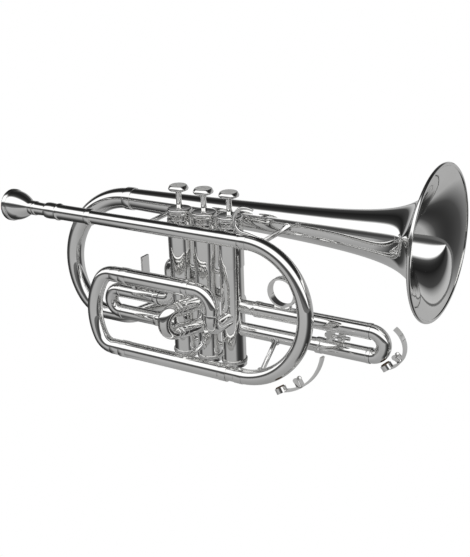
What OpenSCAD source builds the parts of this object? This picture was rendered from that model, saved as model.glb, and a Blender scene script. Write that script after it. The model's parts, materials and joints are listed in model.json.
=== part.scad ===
// Three-valve cornet: every tube, slide, valve and key is its own piece.
// Millimetres. +X runs towards the bell, +Y to the player's left, +Z up the valve axes.
// The origin is the middle of the second valve's bottom cap, on its lower face.

/* [Valve block] */
// Distance between neighbouring valve axes
valve_pitch = 23; // [22:0.5:28]
// Outside radius of the lower casing tube
casing_r = 9.5; // [8.8:0.1:11.4]
// Bore radius of the casing, in which the piston runs
casing_bore = 8.4; // [6.8:0.1:8.4]
// Outside radius of the wider upper sleeve
sleeve_r = 10.2; // [9.6:0.1:10.9]
// Height at which the upper sleeve starts
sleeve_z = 84; // [70:1:92]
// Height of the top cap's upper face
cap_top = 125; // [118:1:150]
// Thickness of the top cap's plate
cap_plate = 1.8; // [1.2:0.1:2.6]
// Outside radius of the top and bottom caps
cap_r = 9.9; // [9.7:0.1:10.9]
// Height of a bottom cap
foot_h = 6.2; // [5:0.1:9]
// Travel of a valve from up to down
stroke = 12; // [9:0.5:14.5]
// Radial clearance between a piston and its casing
piston_gap = 0.04; // [0.02:0.01:0.1]
// Radius of the valve stem
stem_r = 2.3; // [1.8:0.1:3]
// Radius of a finger button at its widest
button_r = 7.95; // [6:0.05:9.5]
// Height of a finger button's top above the cap
button_h = 18.5; // [18:0.5:24]

/* [Mouthpipe and front bow] */
// Sideways place of the mouthpipe axis
lead_y = -24; // [-30:0.5:-23]
// Height of the mouthpipe axis
lead_z = 114.6; // [108:0.2:122]
// Lean of the mouthpipe and tuning loop from the valve axes, degrees
lean = 6.3; // [0:0.1:8]
// Outside radius of the mouthpipe where it leaves the receiver
pipe_r = 5.3; // [4.8:0.1:6]
// Outside radius of the front bow
bow_tube_r = 5.8; // [5.4:0.1:6.4]
// Middle radius of the front bow
bow_r = 52.2; // [44:0.2:60]
// Where the front bow starts
bow_x = 50.6; // [46:0.2:62]
// Where the receiver meets the mouthpipe
receiver_x = -91; // [-110:1:-70]
// Length of the receiver in front of that
receiver_l = 48; // [40:1:58]

/* [Main tuning slide] */
// Depth of the slide's upper leg below the mouthpipe axis
upper_drop = 43.5; // [40:0.5:56]
// Outside radius of the outer slide tubes
outer_r = 6.6; // [6.4:0.05:7.6]
// Bore radius of the outer slide tubes
outer_bore = 6.1; // [5.7:0.05:6.15]
// Rear end of the outer tubes, where the slide stops
slide_stop_x = -62; // [-72:1:-50]
// Length of the fixed upper leg
upper_leg_l = 62; // [50:1:68]
// Travel of the main tuning slide
main_travel = 40; // [20:1:44]

/* [Valve slides] */
// Distance between the two legs of each valve slide
leg_gap = 19.3; // [16:0.1:23]
// Outside radius of the outer tubes
leg_r = 6.05; // [5.9:0.05:6.6]
// Bore radius of the outer tubes
leg_bore = 5.55; // [5.2:0.05:5.7]
// Height of the third and second slides' lower legs
third_z = 32.3; // [26:0.1:40]
// Height of the first slide's lower leg
first_z = 23.6; // [20:0.1:30]
// Where the third slide's moving sleeves end and its bow starts
third_x = 141.8; // [118:0.2:150]
// Where the first slide's moving sleeves end and its bow starts
first_x = -91; // [-100:1:-76]
// Travel of the third slide
third_travel = 25; // [15:1:30]
// Travel of the first slide
first_travel = 22; // [10:1:24]
// Reach of the second slide's outer tubes from the valve axis
second_l = 29; // [26:0.5:34]
// Travel of the second slide
second_travel = 11; // [6:1:12]
// Angle of the second slide, degrees back from straight out
second_turn = 22; // [0:1:30]
// Radial clearance of every slide in its tube
slide_gap = 0.05; // [0.02:0.01:0.1]
// Wall of the inner slide tubes and bows
tube_wall = 0.5; // [0.4:0.05:0.8]

/* [Bell] */
// Sideways place of the bell axis
bell_y = 34.5; // [32:0.5:42]
// Height of the bell axis
bell_z = 114; // [106:0.5:120]
// Where the bell ends
bell_x = 179; // [150:1:210]
// Radius of the bell rim
bell_r = 58.6; // [48:0.2:70]
// Radius of the bell's cone where it joins the rear bow
tail_r = 8.7; // [8:0.1:9.5]
// Wall of the bell
bell_wall = 0.7; // [0.5:0.05:1]
// Radius of the wire rolled into the rim
bead_r = 1.4; // [1:0.1:2]
// Where the rear bow starts
rear_x = -97; // [-110:1:-90]
// Lean of the rear bow from the valve axes, degrees
rear_lean = 6.8; // [0:0.1:8]
// Distance between the rear bow's two ends
rear_drop = 104.2; // [102:0.2:108]

/* [Grips and keys] */
// Bore radius of the third slide's finger ring
ring_bore = 10.3; // [9:0.1:12.5]
// Width of the finger ring's band
ring_w = 6.5; // [4:0.5:9]
// Bore radius of the little finger's hook
hook_bore = 8.2; // [7:0.1:10]
// Opening angle of the water keys, degrees
key_open = 12; // [6:1:14]
// Mouthpiece rim radius
rim_r = 13.3; // [12:0.1:14.5]
// Mouthpiece length outside the receiver
mouth_l = 39.5; // [34:0.5:46]

/* [Hidden] */
fine = 64;
mid = 32;
silver = [0.78, 0.79, 0.8];
touch = 0.02;          // gap left between two pieces that are soldered together
valve_x = [-valve_pitch, 0, valve_pitch];
lower_drop = 2 * bow_r;                       // the bow is half a circle, so this follows
run_end_x = 36;                               // front ferrule of the lower run
third_top = third_z + leg_gap;
first_top = first_z + leg_gap;
first_y = 4;                                  // the first slide passes behind the tuning slide
main_in = outer_bore - slide_gap;             // inner legs of the tuning slide
leg_in = leg_bore - slide_gap;                // inner legs of the valve slides
piston_r = casing_bore - piston_gap;
port_r = leg_in - tube_wall;                  // windway through ports and valve tubes
neck_r = casing_r - 0.45;                     // screwed neck under the top cap
neck_h = 7;
barrel_r = piston_r - 0.9;
barrel_top = cap_top - cap_plate - 3;
ported_top = sleeve_z - 6;
piston_low = foot_h + stroke + 4;
guide_z = ported_top + 4;
tie_r = 2;
key_pin = 1.1;
mouth_x = receiver_x - receiver_l;            // mouth of the receiver
rim_x = mouth_x - mouth_l;
skirt_z = cap_top - 8.5;                      // lower edge of the top cap
wind = 4.4;                                   // half-bores inside the pistons meet at this radius
crook_corner = 14;                            // corner bends of the tuning slide's bow
key_gap = 0.05;                               // slack between a water key's cork and its nipple

// ---- placing and sweeping ----
function unit(v) = v / norm(v);
function lead_point(x, drop, out = 0) = [x,
    lead_y - drop * sin(lean) + out * cos(lean),
    lead_z - drop * cos(lean) - out * sin(lean)];

// The loop of the mouthpipe, front bow and tuning slide: z is minus the drop below the mouthpipe
module in_loop() {
    translate([0, lead_y, lead_z]) rotate([-lean, 0, 0]) children();
}

// Plane of the bell's rear bow
module in_rear() {
    translate([0, bell_y, bell_z]) rotate([-rear_lean, 0, 0]) children();
}

// Straight round bar or tube from a to b
module bar(a, b, ro, ri = 0) {
    v = b - a;
    length = norm(v);
    translate(a) rotate([0, acos(v[2] / length), atan2(v[1], v[0])]) difference() {
        cylinder(h = length, r = ro, $fn = fine);
        if (ri > 0) translate([0, 0, -1]) cylinder(h = length + 2, r = ri, $fn = fine);
    }
}

// Quarter or other part of a ring, starting at "from" and heading along "head", turning towards "inward"
module elbow(start, head, inward, bend, turn, ro, ri = 0) {
    h = unit(head);
    out = -unit(inward);
    n = cross(out, h);
    c = start - out * bend;
    multmatrix([[out[0], h[0], n[0], c[0]], [out[1], h[1], n[1], c[1]],
        [out[2], h[2], n[2], c[2]], [0, 0, 0, 1]])
        rotate_extrude(angle = turn, $fn = fine) translate([bend, 0]) difference() {
            circle(r = ro, $fn = mid);
            if (ri > 0) circle(r = ri, $fn = mid);
        }
}

function heads(p) = [for (i = [0:len(p) - 2]) unit(p[i + 1] - p[i])];
function turns(p) = let (h = heads(p)) [for (i = [1:len(p) - 2]) acos(h[i - 1] * h[i])];
function cutback(p, b, i) = (i == 0 || i == len(p) - 1) ? 0 : b[i - 1] * tan(turns(p)[i - 1] / 2);

// Thin bead of solder around a joint, which also ties the two pieces together
module bead(at, head, r) {
    bar(at - unit(head) * 0.25, at + unit(head) * 0.25, r + 0.03);
}

// Solid rod through the points p, with one bend radius for each inner point
module rod(p, b, r) {
    h = heads(p);
    t = turns(p);
    for (i = [0:len(p) - 2])
        let (a = p[i] + h[i] * cutback(p, b, i), z = p[i + 1] - h[i] * cutback(p, b, i + 1))
            if (norm(z - a) > 0.01) bar(a, z, r);
    for (i = [1:len(p) - 2])
        let (a = p[i] - h[i - 1] * cutback(p, b, i), z = p[i] + h[i] * cutback(p, b, i),
            n = cross(h[i - 1], h[i])) {
            elbow(a, h[i - 1], unit(cross(n, h[i - 1])), b[i - 1], t[i - 1], r);
            bead(a, h[i - 1], r);
            bead(z, h[i], r);
        }
}

// Tube through the points p
module run(p, b, ro, ri) {
    difference() {
        rod(p, b, ro);
        rod(p, b, ri);
    }
}

// Ferrule: a short ring with rounded edges, from a towards b
module ferrule(a, b, ro, ri) {
    v = b - a;
    w = norm(v);
    e = min(0.5, w / 4);
    translate(a) rotate([0, acos(v[2] / w), atan2(v[1], v[0])])
        rotate_extrude($fn = fine)
            polygon([[ri, 0], [ro - e, 0], [ro, e], [ro, w - e], [ro - e, w], [ri, w]]);
}

// Everything inside one valve's casing wall, to cut a tube that is soldered to it
module casing_space(i, r = casing_r) {
    translate([valve_x[i], 0, -1]) cylinder(h = cap_top + 2, r = r + touch, $fn = fine);
}

// Solid chain of bends from "start": each arc is [bend radius, turn, tube radius]
module chain(start, head, inward, arcs, wall = 0, i = 0) {
    if (i < len(arcs)) {
        b = arcs[i][0];
        t = arcs[i][1];
        elbow(start, head, inward, b, t, arcs[i][2] - wall);
        if (i > 0) bead(start, head, arcs[i - 1][2] - wall);
        turned = inward * cos(t) - head * sin(t);
        chain(start + (inward - turned) * b, head * cos(t) + inward * sin(t), turned, arcs, wall, i + 1);
    }
}

// Turned piece along X through [0, y, z]; its profile is [radius, x]
module turned_x(y, z) {
    translate([0, y, z]) rotate([0, 90, 0]) rotate_extrude($fn = fine) children();
}

// Centre of the circle through three points of a plane
function centre3(a, b, c) =
    let (d = 2 * (a[0] * (b[1] - c[1]) + b[0] * (c[1] - a[1]) + c[0] * (a[1] - b[1])),
        e = a * a, f = b * b, g = c * c)
    [e * (b[1] - c[1]) + f * (c[1] - a[1]) + g * (a[1] - b[1]),
        e * (c[0] - b[0]) + f * (a[0] - c[0]) + g * (b[0] - a[0])] / d;

// ---- mouthpiece, receiver, mouthpipe and front bow ----
function shank_r(t) = 4.9 - 0.025 * t;        // taper of the shank, t in from the receiver's mouth
shank_l = 22;
cup_r = 8.2;                                  // inner edge of the rim
rim_w = (rim_r - cup_r) / 2;
cup_l = 19;                                   // depth of the outside of the cup

module mouthpiece() color(silver) turned_x(lead_y, lead_z) {
    // a straight band behind the rim, then a full bowl that closes on the neck
    bowl_r = rim_r - 1;
    outer = concat([[rim_r, rim_x + rim_w], [rim_r, rim_x + 5.4], [bowl_r, rim_x + 6.2]],
        [for (i = [1:12]) let (t = i / 12)
            [5.2 + (bowl_r - 5.2) * pow(cos(90 * t), 0.8), rim_x + 6.2 + (cup_l - 2.7) * t]]);
    inner = [for (i = [0:10]) let (t = i / 10)
        [1.9 + (cup_r - 1.9) * sqrt(1 - t * t), rim_x + rim_w + 12.5 * t]];
    translate([rim_r - rim_w, rim_x + rim_w]) circle(r = rim_w, $fn = mid);
    polygon(concat(outer, [[5.9, rim_x + 23.2], [5.9, rim_x + 26.2], [5.4, rim_x + 26.8],
        [5.9, rim_x + 27.4], [5.9, rim_x + 29], [5.3, rim_x + 29.8], [shank_r(0), mouth_x - 1], [shank_r(0), mouth_x],
        [shank_r(shank_l), mouth_x + shank_l], [3.5, mouth_x + shank_l], [2.1, rim_x + 24]],
        [for (i = [len(inner) - 1:-1:0]) inner[i]]));
}

module receiver() color(silver) turned_x(lead_y, lead_z)
    polygon([[shank_r(0) + slide_gap, mouth_x], [5.7, mouth_x], [6.5, mouth_x + 1.2],
        [6.7, mouth_x + 5], [6.3, mouth_x + 10.5], [7, mouth_x + 12.5], [7, mouth_x + 14.5],
        [6.3, mouth_x + 16], [6.2, receiver_x - 5], [6.8, receiver_x - 4.4],
        [6.8, receiver_x - 0.6], [6.2, receiver_x], [pipe_r + touch, receiver_x],
        [pipe_r + touch, receiver_x - 14], [3.8, receiver_x - 14],
        [3.8, mouth_x + shank_l + 1], [shank_r(shank_l + 1) + slide_gap, mouth_x + shank_l + 1]]);

module mouthpipe() color(silver) turned_x(lead_y, lead_z)
    polygon([[3.8, receiver_x - 13.9], [pipe_r, receiver_x - 13.9], [pipe_r, receiver_x],
        [bow_tube_r, bow_x - 8], [bow_tube_r, bow_x - touch],
        [bow_tube_r - tube_wall, bow_x - touch]]);

// Key saddle: a post on the tube at "foot", ending in a cross tube around the pivot
module key_saddle(foot, pivot) {
    difference() {
        union() {
            bar(foot, pivot, 1.9);
            translate([pivot[0], 2.2, pivot[2]]) rotate([90, 0, 0]) cylinder(h = 4.4, r = 2.3, $fn = mid);
        }
        translate([pivot[0], 3, pivot[2]]) rotate([90, 0, 0])
            cylinder(h = 6, r = key_pin + slide_gap, $fn = mid);
    }
}

bow_mid = [bow_x, 0, -bow_r];                 // middle of the front bow, in its plane
main_pivot = [bow_x + 47.7, 0, -bow_r - 44.8];
main_cup = [bow_x + 33.2, 0, -bow_r - 53.2];  // where the cork meets the nipple
nipple_l = 1.7;

function toward(a, b, d) = a + unit(b - a) * d;

// The front bow's curved tube, solid, to cut pieces that sit on it
module bow_space() {
    in_loop() elbow([bow_x, 0, 0], [1, 0, 0], [0, 0, -1], bow_r, 180, bow_tube_r + touch);
}

module front_bow() color(silver) in_loop() difference() {
    union() {
        elbow([bow_x, 0, 0], [1, 0, 0], [0, 0, -1], bow_r, 180, bow_tube_r);
        for (z = [0, -lower_drop]) ferrule([bow_x - 5, 0, z], [bow_x + 3, 0, z], bow_tube_r + 0.8, 3);
        bar(toward(main_cup, bow_mid, 8), main_cup, 2.6);
        key_saddle(toward(main_pivot, bow_mid, 9), main_pivot);
    }
    elbow([bow_x, 0, 0], [1, 0, 0], [0, 0, -1], bow_r, 180, bow_tube_r - tube_wall);
    for (z = [0, -lower_drop]) {
        bar([bow_x - 6, 0, z], [bow_x, 0, z], bow_tube_r + touch);
        bar([bow_x - 0.1, 0, z], [bow_x + 4, 0, z], bow_tube_r - tube_wall);
    }
    bar(toward(main_cup, bow_mid, 7), main_cup + unit(main_cup - bow_mid), 1.5);
}

// ---- main tuning slide ----
module lower_run() color(silver) in_loop() {
    z = -lower_drop;
    bar([run_end_x, 0, z], [bow_x - touch, 0, z], bow_tube_r, bow_tube_r - tube_wall);
    ferrule([run_end_x - 4, 0, z], [run_end_x + 4, 0, z], outer_r + 0.6, bow_tube_r - tube_wall);
    bar([slide_stop_x, 0, z], [run_end_x, 0, z], outer_r, outer_bore);
    ferrule([slide_stop_x, 0, z], [slide_stop_x + 7, 0, z], outer_r + 0.5, outer_bore);
}

upper_end_x = slide_stop_x + upper_leg_l;

module main_outer_upper() color(silver) in_loop() {
    z = -upper_drop;
    bar([slide_stop_x, 0, z], [upper_end_x, 0, z], outer_r, outer_bore);
    ferrule([slide_stop_x, 0, z], [slide_stop_x + 7, 0, z], outer_r + 0.5, outer_bore);
    ferrule([upper_end_x - 2, 0, z], [upper_end_x + 3, 0, z], outer_r + 0.5, pipe_r + 0.4 + touch);
}

// Tube from the tuning slide's upper leg down into the third valve
module gooseneck() color(silver) difference() {
    union() {
        run([lead_point(upper_end_x - 1.9, upper_drop), lead_point(valve_pitch + 0.5, upper_drop),
            [valve_pitch, lead_y - 8.5, third_z + 9.7], [valve_pitch, -3, third_z + 9.7]],
            [15, 8], pipe_r + 0.4, pipe_r - 0.2);
        ferrule(lead_point(valve_pitch + 0.3, upper_drop + 17), lead_point(valve_pitch + 0.2, upper_drop + 23),
            pipe_r + 1, pipe_r - 0.2);
    }
    casing_space(2);
}

main_legs = [[upper_drop, upper_end_x - 5], [lower_drop, run_end_x - 14]];
module main_way(foot, r) {
    mid_bend = lower_drop - upper_drop - crook_corner;
    chain([foot, 0, -upper_drop], [-1, 0, 0], [0, 0, -1],
        [[crook_corner, 60, r], [mid_bend, 60, r], [crook_corner, 60, r]]);
    for (leg = main_legs) {
        bar([foot, 0, -leg[0]], [leg[1], 0, -leg[0]], r);
        bead([foot, 0, -leg[0]], [1, 0, 0], r);
    }
}

module main_slide() color(silver) in_loop() difference() {
    foot = slide_stop_x - 9;
    union() {
        main_way(foot, main_in);
        for (leg = main_legs)
            ferrule([foot, 0, -leg[0]], [slide_stop_x - touch, 0, -leg[0]], outer_r, 2);
    }
    main_way(foot, main_in - tube_wall);
}

// ---- valves ----
crossover_z = [62, 50.6];                     // far enough apart to pass each other at the middle casing
// Windways into each casing: [azimuth, height]
function windways(i) =
    i == 0 ? [[180 - atan2(4, 13), first_z], [180 - atan2(6.5, 16), 75], [90, 38], [90, crossover_z[0]]]
    : i == 1 ? [[second_az, third_z], [second_az, third_top], [90, crossover_z[0]], [90, crossover_z[1]]]
    : [[0, third_z], [0, third_top], [90, crossover_z[1]], [-90, third_z + 9.7]];
second_az = 270 - second_turn;
tie_z = [15, 77];
// Windways through each piston at rest: [azimuth, height of the mouth, height on the axis]
function ports(i) = [for (w = windways(i)) [w[0], w[1], w[1]], for (w = windways(i)) [w[0], w[1] + stroke, w[1] + stroke]];

module casing(i) color(silver) translate([valve_x[i], 0, 0]) difference() {
    union() {
        translate([0, 0, 2]) cylinder(h = skirt_z - 2, r = neck_r, $fn = fine);
        translate([0, 0, foot_h + touch]) cylinder(h = skirt_z - foot_h - 2 * touch, r = casing_r, $fn = fine);
        translate([0, 0, sleeve_z]) rotate_extrude($fn = fine)
            polygon([[0, 0], [sleeve_r - 0.4, 0], [sleeve_r, 0.4], [sleeve_r, skirt_z - sleeve_z - touch],
                [0, skirt_z - sleeve_z - touch]]);
        translate([0, 0, skirt_z - 1]) cylinder(h = neck_h, r = neck_r, $fn = fine);
    }
    cylinder(h = cap_top, r = casing_bore, $fn = fine);
    for (w = windways(i)) rotate([0, 90, w[0]]) translate([-w[1], 0, 0])
        cylinder(h = casing_r + 1, r = port_r, $fn = mid);
    // notches that the guide's two ears slide down into
    for (a = [0, 180]) rotate([0, 0, a]) translate([0, -2.05, guide_z])
        cube([casing_bore + 0.4, 4.1, cap_top]);
}

module casing_1() casing(0);
module casing_2() casing(1);
module casing_3() casing(2);

module top_cap(i) color(silver) translate([valve_x[i], 0, 0]) difference() {
    rotate_extrude($fn = fine)
        polygon([[neck_r + touch, skirt_z], [cap_r, skirt_z], [cap_r, cap_top - 4.5],
            [cap_r - 0.5, cap_top - 3.8], [cap_r - 0.1, cap_top - 3], [cap_r - 0.1, cap_top - 1.4],
            [cap_r - 1, cap_top], [stem_r + 0.06, cap_top], [stem_r + 0.06, cap_top - cap_plate],
            [neck_r + touch, cap_top - cap_plate]]);
}

module top_cap_1() top_cap(0);
module top_cap_2() top_cap(1);
module top_cap_3() top_cap(2);

module bottom_cap(i) color(silver) translate([valve_x[i], 0, 0]) difference() {
    rotate_extrude($fn = fine)
        polygon([[0, 0], [cap_r - 0.8, 0], [cap_r, 0.8], [cap_r, foot_h - 2.6], [cap_r + 0.6, foot_h - 2],
            [cap_r + 0.6, foot_h - 0.6], [cap_r, foot_h], [0, foot_h]]);
    translate([0, 0, 1.8]) cylinder(h = foot_h, r = neck_r + touch, $fn = fine);
}

module bottom_cap_1() bottom_cap(0);
module bottom_cap_2() bottom_cap(1);
module bottom_cap_3() bottom_cap(2);

// Valve guide: a star whose ears reach through the barrel's slots into the casing's notches
module guide(i) color([0.85, 0.82, 0.75]) translate([valve_x[i], 0, guide_z + 0.05]) difference() {
    union() {
        cylinder(h = 2.9, r = barrel_r - 1.1, $fn = fine);
        for (a = [0, 180]) rotate([0, 0, a]) translate([0, -1.8, 0])
            cube([casing_bore + 0.3, 3.6, 2.9]);
    }
    translate([0, 0, -1]) cylinder(h = 5, r = 3.2, $fn = fine);
}

module guide_1() guide(0);
module guide_2() guide(1);
module guide_3() guide(2);

// Ported piston with its slotted spring barrel
module piston(i) color(silver) translate([valve_x[i], 0, 0]) difference() {
    union() {
        translate([0, 0, piston_low]) cylinder(h = ported_top - piston_low, r = piston_r, $fn = fine);
        translate([0, 0, ported_top - 1]) cylinder(h = barrel_top - ported_top + 1, r = barrel_r, $fn = fine);
    }
    for (q = ports(i)) rotate([0, 90, q[0]]) translate([-q[1], 0, 0])
        cylinder(h = piston_r + 1, r = wind, $fn = mid);
    translate([0, 0, ported_top + 1.5]) cylinder(h = barrel_top - ported_top - 3, r = barrel_r - 0.7, $fn = fine);
    for (a = [0, 180]) rotate([0, 0, a]) translate([0, -2.1, guide_z - 0.5])
        cube([barrel_r + 1, 4.2, stroke + 5]);
    translate([0, 0, piston_low - 1]) cylinder(h = 4, r = piston_r - 0.9, $fn = fine);
    translate([0, 0, barrel_top - 3]) cylinder(h = 5, r = 1.6, $fn = mid);
}

module piston_1() piston(0);
module piston_2() piston(1);
module piston_3() piston(2);

module spring(i) color([0.6, 0.6, 0.62]) translate([valve_x[i], 0, guide_z + 3 + touch]) difference() {
    cylinder(h = barrel_top - 1.5 - guide_z - 3 - 2 * touch, r = barrel_r - 1.2, $fn = fine);
    translate([0, 0, -1]) cylinder(h = barrel_top, r = barrel_r - 2.1, $fn = fine);
}

module spring_1() spring(0);
module spring_2() spring(1);
module spring_3() spring(2);

module felt(i) color([0.12, 0.12, 0.13]) translate([valve_x[i], 0, barrel_top + touch]) difference() {
    cylinder(h = cap_top - cap_plate - barrel_top - 0.3, r = barrel_r - 0.4, $fn = fine);
    translate([0, 0, -1]) cylinder(h = 6, r = stem_r + touch, $fn = fine);
}

module felt_1() felt(0);
module felt_2() felt(1);
module felt_3() felt(2);

// Stem screwed into the barrel, with the finger button on top
module stem(i) color(silver) translate([valve_x[i], 0, 0]) {
    top = cap_top + button_h;
    translate([0, 0, barrel_top - 2.9]) cylinder(h = 3, r = 1.6 - touch, $fn = mid);
    translate([0, 0, barrel_top + touch]) cylinder(h = top - barrel_top - 4, r = stem_r, $fn = fine);
    rotate_extrude($fn = fine)
        polygon([[0, top - 6.6], [stem_r, top - 6.6], [stem_r + 1, top - 5.4], [button_r - 0.8, top - 4.2],
            [button_r, top - 3.2], [button_r, top - 2.8], [button_r - 1, top - 0.6],
            [button_r - 1.6, top - 0.4], [button_r - 1.6, top - 1.2], [0, top - 1.2]]);
}

module stem_1() stem(0);
module stem_2() stem(1);
module stem_3() stem(2);

module button_face(i) color([0.86, 0.86, 0.84]) translate([valve_x[i], 0, cap_top + button_h - 1.2 + touch])
    rotate_extrude($fn = fine)
        polygon([[0, 0], [button_r - 1.6 - touch, 0], [button_r - 1.6 - touch, 0.9], [0, 1.2 - touch]]);

module button_face_1() button_face(0);
module button_face_2() button_face(1);
module button_face_3() button_face(2);

// ---- tubes between the valves and to the slides ----
// Short arched tube on the players' left side, from one casing to the next
module crossover(i, z) color(silver) difference() {
    run([[valve_x[i], 3, z], [valve_x[i] + 1.5, 16, z], [valve_x[i + 1] - 1.5, 16, z],
        [valve_x[i + 1], 3, z]], [6.5, 6.5], port_r + 0.4, port_r - 0.3);
    casing_space(i);
    casing_space(i + 1);
}

module crossover_12() crossover(0, crossover_z[0]);
module crossover_23() crossover(1, crossover_z[1]);

module casing_ties() color(silver) difference() {
    for (z = tie_z, i = [0, 1]) bar([valve_x[i] + casing_r - 2, 0, z], [valve_x[i + 1] - casing_r + 2, 0, z], tie_r);
    for (i = [0:2]) casing_space(i);
}

// Fixed inner tubes of the first slide, with the knuckle up to the first valve
first_start = -valve_pitch - 26;
module first_legs() color(silver) difference() {
    union() {
        run([[-valve_pitch, 0, 75], [-valve_pitch - 16, 6.5, 75], [-valve_pitch - 16, 6.5, first_top],
            [first_start, first_y, first_top], [first_x + 3, first_y, first_top]], [7, 7, 16],
            leg_in, port_r);
        run([[-valve_pitch, 0, first_z], [-valve_pitch - 13, first_y, first_z],
            [first_x + 3, first_y, first_z]], [20], leg_in, port_r);
    }
    casing_space(0);
}

module second_outer() color(silver) difference() {
    for (z = [third_z, third_top]) translate([0, 0, z]) rotate([0, 0, second_az]) {
        bar([0, 0, 0], [second_l, 0, 0], leg_r, leg_bore);
        ferrule([second_l - 6, 0, 0], [second_l, 0, 0], leg_r + 0.5, leg_bore);
    }
    casing_space(1);
}

// Fixed inner tubes of the third slide
module third_legs() color(silver) difference() {
    for (z = [third_z, third_top]) bar([valve_pitch, 0, z], [third_x - 6, 0, z], leg_in, port_r);
    casing_space(2);
}

// ---- bell ----
function flare(x) = pow(20 / (20 + bell_x - bead_r - x), 1.5);
function bell_at(x) = tail_r + 0.018 * (x - rear_x)
    + (bell_r - bead_r - tail_r - 0.018 * (bell_x - bead_r - rear_x))
    * (flare(x) - flare(rear_x)) / (1 - flare(rear_x));
function bell_slope(x) = (bell_at(x + 0.05) - bell_at(x - 0.05)) / 0.1;
// stations crowd towards the rim, where the flare opens fastest
bell_xs = [for (i = [0:44]) rear_x + (bell_x - bead_r - rear_x) * (1 - pow(1 - i / 44, 2))];

module bell() color(silver) turned_x(bell_y, bell_z) {
    polygon(concat([for (x = bell_xs) [bell_at(x), x]],
        [for (i = [len(bell_xs) - 1:-1:0]) let (x = bell_xs[i], m = bell_slope(x), s = sqrt(1 + m * m))
            [bell_at(x) - bell_wall / s, x + bell_wall * m / s]]));
    translate([bell_r - bead_r, bell_x - bead_r]) circle(r = bead_r, $fn = mid);
}

// Tapered bow behind the player's hand: three bends, cut into short tapering steps
rear_a = 62;
rear_b = 54.7;
rear_c = (rear_drop - rear_a * (1 - cos(50)) - rear_b * 2 * cos(50)) / (1 - cos(50));
small_r = 6.4;                                // radius where the bow meets the bell tail
rear_arcs = [for (k = [0:6])
    [k < 2 ? rear_a : k < 5 ? rear_b : rear_c, k > 1 && k < 5 ? 80 / 3 : 25,
        tail_r - (tail_r - small_r) * k / 6]];
rear_end = [rear_x - (rear_a - rear_c) * sin(50), bell_y - rear_drop * sin(rear_lean),
    bell_z - rear_drop * cos(rear_lean)];

module bell_bow() color(silver) in_rear() {
    difference() {
        chain([rear_x - touch, 0, 0], [-1, 0, 0], [0, 0, -1], rear_arcs);
        chain([rear_x - touch, 0, 0], [-1, 0, 0], [0, 0, -1], rear_arcs, tube_wall);
    }
    difference() {
        ferrule([rear_x - 3, 0, 0], [rear_x + 5, 0, 0], tail_r + 0.9, tail_r - tube_wall);
        bar([rear_x, 0, 0], [rear_x + 6, 0, 0], tail_r + 0.2);
        bar([rear_x - touch, 0, 0], [rear_x + 1, 0, 0], tail_r + touch);
    }
}

// Tube from the rear bow up behind the first slide into the first valve
module bell_tail() color(silver) difference() {
    run([rear_end + [touch, 0, 0], [-96, rear_end[1], rear_end[2]], [-valve_pitch - 22, 21.3, 36],
        [-valve_pitch, 21.3, 38], [-valve_pitch, 3, 38]], [40, 20, 10.5], small_r, small_r - tube_wall);
    casing_space(0);
}

// ---- grips and braces ----
ring_x = 68.3;
ring_mid = [ring_x, 0, third_top + leg_r + ring_bore + 1.9];

module finger_ring() color(silver) difference() {
    union() {
        translate(ring_mid + [0, ring_w / 2, 0]) rotate([90, 0, 0]) rotate_extrude($fn = fine)
            polygon([[ring_bore, 0], [ring_bore + 1.4, 0], [ring_bore + 1.9, 0.6],
                [ring_bore + 1.9, ring_w - 0.6], [ring_bore + 1.4, ring_w], [ring_bore, ring_w]]);
        translate([ring_x - 6.5, -2.2, third_top]) cube([13, 4.4, leg_r + 2.1]);
    }
    translate(ring_mid + [0, ring_w, 0]) rotate([90, 0, 0]) cylinder(h = 2 * ring_w, r = ring_bore, $fn = fine);
    bar([0, 0, third_top], [third_x, 0, third_top], leg_r + touch);
}

// Flat band bent in the plane of the mouthpipe: [bend, turn] arcs, or [length, 0] for a straight
module band(start, head, inward, parts, thick, width, i = 0) {
    if (i < len(parts)) {
        b = parts[i][0];
        t = parts[i][1];
        out = -inward;
        if (t > 0) {
            n = cross(out, head);
            c = start - out * b;
            turned = inward * cos(t) - head * sin(t);
            multmatrix([[out[0], head[0], n[0], c[0]], [out[1], head[1], n[1], c[1]],
                [out[2], head[2], n[2], c[2]], [0, 0, 0, 1]])
                rotate_extrude(angle = t, $fn = fine) translate([b, 0])
                    square([thick, width], center = true);
            band(start + (inward - turned) * b, head * cos(t) + inward * sin(t), turned, parts, thick, width, i + 1);
        } else {
            n = cross(out, head);
            multmatrix([[out[0], head[0], n[0], start[0]], [out[1], head[1], n[1], start[1]],
                [out[2], head[2], n[2], start[2]], [0, 0, 0, 1]])
                translate([-thick / 2, 0, -width / 2]) cube([thick, b, width]);
            band(start + head * b, head, inward, parts, thick, width, i + 1);
        }
    }
}

hook_thick = 2.2;
hook_w = 6;

module pinky_hook() color(silver) in_loop() difference() {
    band([66, 0, bow_tube_r - 0.3], [-1, 0, 0], [0, 0, 1],
        [[16, 0], [hook_bore + hook_thick / 2, 180], [7, 0]], hook_thick, hook_w);
    bar([20, 0, 0], [bow_x, 0, 0], bow_tube_r + touch);
    bar([bow_x - 5 - touch, 0, 0], [bow_x + 3 + touch, 0, 0], bow_tube_r + 0.8 + touch);
    elbow([bow_x, 0, 0], [1, 0, 0], [0, 0, -1], bow_r, 60, bow_tube_r + touch);
}

// Round rod with a flange at each end
module brace(a, b, ra, rb) {
    bar(a, b, 1.9);
    bar(toward(a, b, ra), toward(a, b, ra + 1.6), 3.6);
    bar(toward(b, a, rb), toward(b, a, rb + 1.6), 3.6);
}

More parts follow.
